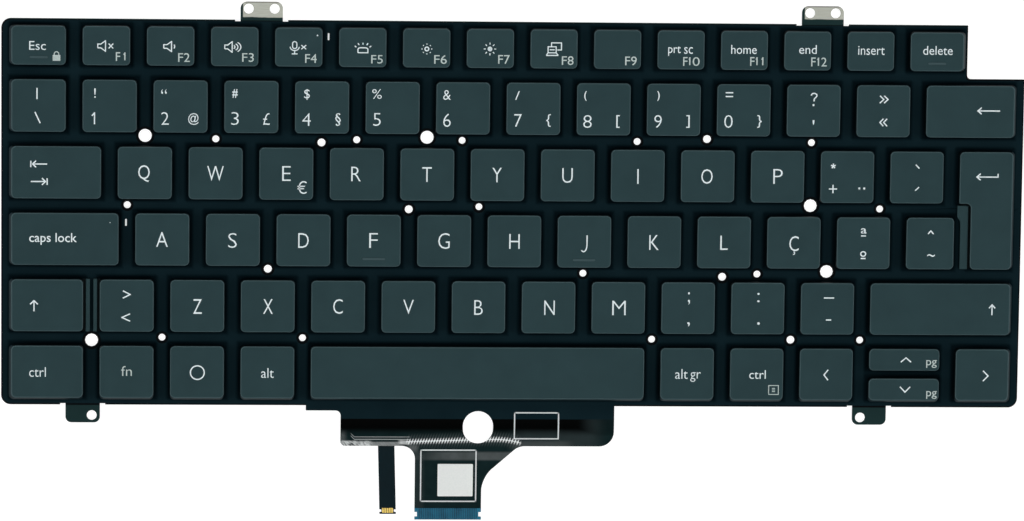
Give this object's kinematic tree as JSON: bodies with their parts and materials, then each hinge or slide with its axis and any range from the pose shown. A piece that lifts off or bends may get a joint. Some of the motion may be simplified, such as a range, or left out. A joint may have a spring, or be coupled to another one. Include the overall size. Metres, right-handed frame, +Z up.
{
  "type": "laptop keyboard module",
  "caption": "Bare laptop keyboard module on a black steel plate: low dark caps on scissor links, a backlight, screw tabs and two flat cables at the front.",
  "frame": {"origin": "middle of the plate's field, at the underside of the backlight panel", "axes": "+X along the rows to the right, +Y from the space bar to the function row, +Z up out of the keys"},
  "size_m": [0.2778, 0.1414, 0.0047],
  "materials": {
    "cap_plastic": "fine matte grain",
    "black_steel": "black coat, bare at the rear tabs",
    "black_film": "black printed polyester film",
    "light_guide": "clear sheet between black and white films",
    "flex_film": "black flat cable",
    "blue_film": "clear blue polyester",
    "silicone": "milky silicone",
    "link_plastic": "natural plastic",
    "spring_steel": "bright wire"
  },
  "bodies": {
    "base": {"backlight_panel": "light_guide", "backlight_tail": "flex_film", "base_plate": "black_steel", "circuit_membrane": "black_film", "rubber_domes": "silicone", "scissor_pairs": "link_plastic", "stabiliser_wires": "spring_steel", "tail_stiffener": "blue_film", "upper_row_keycaps": "cap_plastic"},
    "key_a": {"key_a": "cap_plastic"},
    "key_acute": {"key_acute": "cap_plastic"},
    "key_alt": {"key_alt": "cap_plastic"},
    "key_alt_gr": {"key_alt_gr": "cap_plastic"},
    "key_b": {"key_b": "cap_plastic"},
    "key_c": {"key_c": "cap_plastic"},
    "key_caps_lock": {"key_caps_lock": "cap_plastic"},
    "key_cedilla": {"key_cedilla": "cap_plastic"},
    "key_comma": {"key_comma": "cap_plastic"},
    "key_cursor_down": {"key_cursor_down": "cap_plastic"},
    "key_cursor_left": {"key_cursor_left": "cap_plastic"},
    "key_cursor_right": {"key_cursor_right": "cap_plastic"},
    "key_cursor_up": {"key_cursor_up": "cap_plastic"},
    "key_d": {"key_d": "cap_plastic"},
    "key_e": {"key_e": "cap_plastic"},
    "key_enter": {"key_enter": "cap_plastic"},
    "key_f": {"key_f": "cap_plastic"},
    "key_fn": {"key_fn": "cap_plastic"},
    "key_g": {"key_g": "cap_plastic"},
    "key_h": {"key_h": "cap_plastic"},
    "key_hyphen": {"key_hyphen": "cap_plastic"},
    "key_i": {"key_i": "cap_plastic"},
    "key_j": {"key_j": "cap_plastic"},
    "key_k": {"key_k": "cap_plastic"},
    "key_l": {"key_l": "cap_plastic"},
    "key_left_ctrl": {"key_left_ctrl": "cap_plastic"},
    "key_left_shift": {"key_left_shift": "cap_plastic"},
    "key_less_than": {"key_less_than": "cap_plastic"},
    "key_m": {"key_m": "cap_plastic"},
    "key_n": {"key_n": "cap_plastic"},
    "key_o": {"key_o": "cap_plastic"},
    "key_ordinal": {"key_ordinal": "cap_plastic"},
    "key_p": {"key_p": "cap_plastic"},
    "key_period": {"key_period": "cap_plastic"},
    "key_plus": {"key_plus": "cap_plastic"},
    "key_q": {"key_q": "cap_plastic"},
    "key_r": {"key_r": "cap_plastic"},
    "key_right_ctrl": {"key_right_ctrl": "cap_plastic"},
    "key_right_shift": {"key_right_shift": "cap_plastic"},
    "key_s": {"key_s": "cap_plastic"},
    "key_space": {"key_space": "cap_plastic"},
    "key_super": {"key_super": "cap_plastic"},
    "key_t": {"key_t": "cap_plastic"},
    "key_tab": {"key_tab": "cap_plastic"},
    "key_tilde": {"key_tilde": "cap_plastic"},
    "key_u": {"key_u": "cap_plastic"},
    "key_v": {"key_v": "cap_plastic"},
    "key_w": {"key_w": "cap_plastic"},
    "key_x": {"key_x": "cap_plastic"},
    "key_y": {"key_y": "cap_plastic"},
    "key_z": {"key_z": "cap_plastic"}
  },
  "joints": [
    {"name": "a_stroke", "type": "slide", "parent": "base", "child": "key_a", "axis": [0, 0, -1], "range_m": [0, 0.0014], "stiffness_N_per_m": 200, "springref_m": -0.0015, "deforming": ["rubber_domes", "scissor_pairs"]},
    {"name": "acute_stroke", "type": "slide", "parent": "base", "child": "key_acute", "axis": [0, 0, -1], "range_m": [0, 0.0014], "stiffness_N_per_m": 200, "springref_m": -0.0015, "deforming": ["rubber_domes", "scissor_pairs"]},
    {"name": "alt_stroke", "type": "slide", "parent": "base", "child": "key_alt", "axis": [0, 0, -1], "range_m": [0, 0.0014], "stiffness_N_per_m": 200, "springref_m": -0.0015, "deforming": ["rubber_domes", "scissor_pairs"]},
    {"name": "alt_gr_stroke", "type": "slide", "parent": "base", "child": "key_alt_gr", "axis": [0, 0, -1], "range_m": [0, 0.0014], "stiffness_N_per_m": 200, "springref_m": -0.0015, "deforming": ["rubber_domes", "scissor_pairs"]},
    {"name": "b_stroke", "type": "slide", "parent": "base", "child": "key_b", "axis": [0, 0, -1], "range_m": [0, 0.0014], "stiffness_N_per_m": 200, "springref_m": -0.0015, "deforming": ["rubber_domes", "scissor_pairs"]},
    {"name": "c_stroke", "type": "slide", "parent": "base", "child": "key_c", "axis": [0, 0, -1], "range_m": [0, 0.0014], "stiffness_N_per_m": 200, "springref_m": -0.0015, "deforming": ["rubber_domes", "scissor_pairs"]},
    {"name": "caps_lock_stroke", "type": "slide", "parent": "base", "child": "key_caps_lock", "axis": [0, 0, -1], "range_m": [0, 0.0014], "stiffness_N_per_m": 200, "springref_m": -0.0015, "deforming": ["rubber_domes", "scissor_pairs", "stabiliser_wires"]},
    {"name": "cedilla_stroke", "type": "slide", "parent": "base", "child": "key_cedilla", "axis": [0, 0, -1], "range_m": [0, 0.0014], "stiffness_N_per_m": 200, "springref_m": -0.0015, "deforming": ["rubber_domes", "scissor_pairs"]},
    {"name": "comma_stroke", "type": "slide", "parent": "base", "child": "key_comma", "axis": [0, 0, -1], "range_m": [0, 0.0014], "stiffness_N_per_m": 200, "springref_m": -0.0015, "deforming": ["rubber_domes", "scissor_pairs"]},
    {"name": "cursor_down_stroke", "type": "slide", "parent": "base", "child": "key_cursor_down", "axis": [0, 0, -1], "range_m": [0, 0.0014], "stiffness_N_per_m": 200, "springref_m": -0.0015, "deforming": ["rubber_domes", "scissor_pairs"]},
    {"name": "cursor_left_stroke", "type": "slide", "parent": "base", "child": "key_cursor_left", "axis": [0, 0, -1], "range_m": [0, 0.0014], "stiffness_N_per_m": 200, "springref_m": -0.0015, "deforming": ["rubber_domes", "scissor_pairs"]},
    {"name": "cursor_right_stroke", "type": "slide", "parent": "base", "child": "key_cursor_right", "axis": [0, 0, -1], "range_m": [0, 0.0014], "stiffness_N_per_m": 200, "springref_m": -0.0015, "deforming": ["rubber_domes", "scissor_pairs"]},
    {"name": "cursor_up_stroke", "type": "slide", "parent": "base", "child": "key_cursor_up", "axis": [0, 0, -1], "range_m": [0, 0.0014], "stiffness_N_per_m": 200, "springref_m": -0.0015, "deforming": ["rubber_domes", "scissor_pairs"]},
    {"name": "d_stroke", "type": "slide", "parent": "base", "child": "key_d", "axis": [0, 0, -1], "range_m": [0, 0.0014], "stiffness_N_per_m": 200, "springref_m": -0.0015, "deforming": ["rubber_domes", "scissor_pairs"]},
    {"name": "e_stroke", "type": "slide", "parent": "base", "child": "key_e", "axis": [0, 0, -1], "range_m": [0, 0.0014], "stiffness_N_per_m": 200, "springref_m": -0.0015, "deforming": ["rubber_domes", "scissor_pairs"]},
    {"name": "enter_stroke", "type": "slide", "parent": "base", "child": "key_enter", "axis": [0, 0, -1], "range_m": [0, 0.0014], "stiffness_N_per_m": 200, "springref_m": -0.0015, "deforming": ["rubber_domes", "scissor_pairs"]},
    {"name": "f_stroke", "type": "slide", "parent": "base", "child": "key_f", "axis": [0, 0, -1], "range_m": [0, 0.0014], "stiffness_N_per_m": 200, "springref_m": -0.0015, "deforming": ["rubber_domes", "scissor_pairs"]},
    {"name": "fn_stroke", "type": "slide", "parent": "base", "child": "key_fn", "axis": [0, 0, -1], "range_m": [0, 0.0014], "stiffness_N_per_m": 200, "springref_m": -0.0015, "deforming": ["rubber_domes", "scissor_pairs"]},
    {"name": "g_stroke", "type": "slide", "parent": "base", "child": "key_g", "axis": [0, 0, -1], "range_m": [0, 0.0014], "stiffness_N_per_m": 200, "springref_m": -0.0015, "deforming": ["rubber_domes", "scissor_pairs"]},
    {"name": "h_stroke", "type": "slide", "parent": "base", "child": "key_h", "axis": [0, 0, -1], "range_m": [0, 0.0014], "stiffness_N_per_m": 200, "springref_m": -0.0015, "deforming": ["rubber_domes", "scissor_pairs"]},
    {"name": "hyphen_stroke", "type": "slide", "parent": "base", "child": "key_hyphen", "axis": [0, 0, -1], "range_m": [0, 0.0014], "stiffness_N_per_m": 200, "springref_m": -0.0015, "deforming": ["rubber_domes", "scissor_pairs"]},
    {"name": "i_stroke", "type": "slide", "parent": "base", "child": "key_i", "axis": [0, 0, -1], "range_m": [0, 0.0014], "stiffness_N_per_m": 200, "springref_m": -0.0015, "deforming": ["rubber_domes", "scissor_pairs"]},
    {"name": "j_stroke", "type": "slide", "parent": "base", "child": "key_j", "axis": [0, 0, -1], "range_m": [0, 0.0014], "stiffness_N_per_m": 200, "springref_m": -0.0015, "deforming": ["rubber_domes", "scissor_pairs"]},
    {"name": "k_stroke", "type": "slide", "parent": "base", "child": "key_k", "axis": [0, 0, -1], "range_m": [0, 0.0014], "stiffness_N_per_m": 200, "springref_m": -0.0015, "deforming": ["rubber_domes", "scissor_pairs"]},
    {"name": "l_stroke", "type": "slide", "parent": "base", "child": "key_l", "axis": [0, 0, -1], "range_m": [0, 0.0014], "stiffness_N_per_m": 200, "springref_m": -0.0015, "deforming": ["rubber_domes", "scissor_pairs"]},
    {"name": "left_ctrl_stroke", "type": "slide", "parent": "base", "child": "key_left_ctrl", "axis": [0, 0, -1], "range_m": [0, 0.0014], "stiffness_N_per_m": 200, "springref_m": -0.0015, "deforming": ["rubber_domes", "scissor_pairs"]},
    {"name": "left_shift_stroke", "type": "slide", "parent": "base", "child": "key_left_shift", "axis": [0, 0, -1], "range_m": [0, 0.0014], "stiffness_N_per_m": 200, "springref_m": -0.0015, "deforming": ["rubber_domes", "scissor_pairs"]},
    {"name": "less_than_stroke", "type": "slide", "parent": "base", "child": "key_less_than", "axis": [0, 0, -1], "range_m": [0, 0.0014], "stiffness_N_per_m": 200, "springref_m": -0.0015, "deforming": ["rubber_domes", "scissor_pairs"]},
    {"name": "m_stroke", "type": "slide", "parent": "base", "child": "key_m", "axis": [0, 0, -1], "range_m": [0, 0.0014], "stiffness_N_per_m": 200, "springref_m": -0.0015, "deforming": ["rubber_domes", "scissor_pairs"]},
    {"name": "n_stroke", "type": "slide", "parent": "base", "child": "key_n", "axis": [0, 0, -1], "range_m": [0, 0.0014], "stiffness_N_per_m": 200, "springref_m": -0.0015, "deforming": ["rubber_domes", "scissor_pairs"]},
    {"name": "o_stroke", "type": "slide", "parent": "base", "child": "key_o", "axis": [0, 0, -1], "range_m": [0, 0.0014], "stiffness_N_per_m": 200, "springref_m": -0.0015, "deforming": ["rubber_domes", "scissor_pairs"]},
    {"name": "ordinal_stroke", "type": "slide", "parent": "base", "child": "key_ordinal", "axis": [0, 0, -1], "range_m": [0, 0.0014], "stiffness_N_per_m": 200, "springref_m": -0.0015, "deforming": ["rubber_domes", "scissor_pairs"]},
    {"name": "p_stroke", "type": "slide", "parent": "base", "child": "key_p", "axis": [0, 0, -1], "range_m": [0, 0.0014], "stiffness_N_per_m": 200, "springref_m": -0.0015, "deforming": ["rubber_domes", "scissor_pairs"]},
    {"name": "period_stroke", "type": "slide", "parent": "base", "child": "key_period", "axis": [0, 0, -1], "range_m": [0, 0.0014], "stiffness_N_per_m": 200, "springref_m": -0.0015, "deforming": ["rubber_domes", "scissor_pairs"]},
    {"name": "plus_stroke", "type": "slide", "parent": "base", "child": "key_plus", "axis": [0, 0, -1], "range_m": [0, 0.0014], "stiffness_N_per_m": 200, "springref_m": -0.0015, "deforming": ["rubber_domes", "scissor_pairs"]},
    {"name": "q_stroke", "type": "slide", "parent": "base", "child": "key_q", "axis": [0, 0, -1], "range_m": [0, 0.0014], "stiffness_N_per_m": 200, "springref_m": -0.0015, "deforming": ["rubber_domes", "scissor_pairs"]},
    {"name": "r_stroke", "type": "slide", "parent": "base", "child": "key_r", "axis": [0, 0, -1], "range_m": [0, 0.0014], "stiffness_N_per_m": 200, "springref_m": -0.0015, "deforming": ["rubber_domes", "scissor_pairs"]},
    {"name": "right_ctrl_stroke", "type": "slide", "parent": "base", "child": "key_right_ctrl", "axis": [0, 0, -1], "range_m": [0, 0.0014], "stiffness_N_per_m": 200, "springref_m": -0.0015, "deforming": ["rubber_domes", "scissor_pairs"]},
    {"name": "right_shift_stroke", "type": "slide", "parent": "base", "child": "key_right_shift", "axis": [0, 0, -1], "range_m": [0, 0.0014], "stiffness_N_per_m": 200, "springref_m": -0.0015, "deforming": ["rubber_domes", "scissor_pairs", "stabiliser_wires"]},
    {"name": "s_stroke", "type": "slide", "parent": "base", "child": "key_s", "axis": [0, 0, -1], "range_m": [0, 0.0014], "stiffness_N_per_m": 200, "springref_m": -0.0015, "deforming": ["rubber_domes", "scissor_pairs"]},
    {"name": "space_stroke", "type": "slide", "parent": "base", "child": "key_space", "axis": [0, 0, -1], "range_m": [0, 0.0014], "stiffness_N_per_m": 200, "springref_m": -0.0015, "deforming": ["rubber_domes", "scissor_pairs", "stabiliser_wires"]},
    {"name": "super_stroke", "type": "slide", "parent": "base", "child": "key_super", "axis": [0, 0, -1], "range_m": [0, 0.0014], "stiffness_N_per_m": 200, "springref_m": -0.0015, "deforming": ["rubber_domes", "scissor_pairs"]},
    {"name": "t_stroke", "type": "slide", "parent": "base", "child": "key_t", "axis": [0, 0, -1], "range_m": [0, 0.0014], "stiffness_N_per_m": 200, "springref_m": -0.0015, "deforming": ["rubber_domes", "scissor_pairs"]},
    {"name": "tab_stroke", "type": "slide", "parent": "base", "child": "key_tab", "axis": [0, 0, -1], "range_m": [0, 0.0014], "stiffness_N_per_m": 200, "springref_m": -0.0015, "deforming": ["rubber_domes", "scissor_pairs"]},
    {"name": "tilde_stroke", "type": "slide", "parent": "base", "child": "key_tilde", "axis": [0, 0, -1], "range_m": [0, 0.0014], "stiffness_N_per_m": 200, "springref_m": -0.0015, "deforming": ["rubber_domes", "scissor_pairs"]},
    {"name": "u_stroke", "type": "slide", "parent": "base", "child": "key_u", "axis": [0, 0, -1], "range_m": [0, 0.0014], "stiffness_N_per_m": 200, "springref_m": -0.0015, "deforming": ["rubber_domes", "scissor_pairs"]},
    {"name": "v_stroke", "type": "slide", "parent": "base", "child": "key_v", "axis": [0, 0, -1], "range_m": [0, 0.0014], "stiffness_N_per_m": 200, "springref_m": -0.0015, "deforming": ["rubber_domes", "scissor_pairs"]},
    {"name": "w_stroke", "type": "slide", "parent": "base", "child": "key_w", "axis": [0, 0, -1], "range_m": [0, 0.0014], "stiffness_N_per_m": 200, "springref_m": -0.0015, "deforming": ["rubber_domes", "scissor_pairs"]},
    {"name": "x_stroke", "type": "slide", "parent": "base", "child": "key_x", "axis": [0, 0, -1], "range_m": [0, 0.0014], "stiffness_N_per_m": 200, "springref_m": -0.0015, "deforming": ["rubber_domes", "scissor_pairs"]},
    {"name": "y_stroke", "type": "slide", "parent": "base", "child": "key_y", "axis": [0, 0, -1], "range_m": [0, 0.0014], "stiffness_N_per_m": 200, "springref_m": -0.0015, "deforming": ["rubber_domes", "scissor_pairs"]},
    {"name": "z_stroke", "type": "slide", "parent": "base", "child": "key_z", "axis": [0, 0, -1], "range_m": [0, 0.0014], "stiffness_N_per_m": 200, "springref_m": -0.0015, "deforming": ["rubber_domes", "scissor_pairs"]}
  ]
}
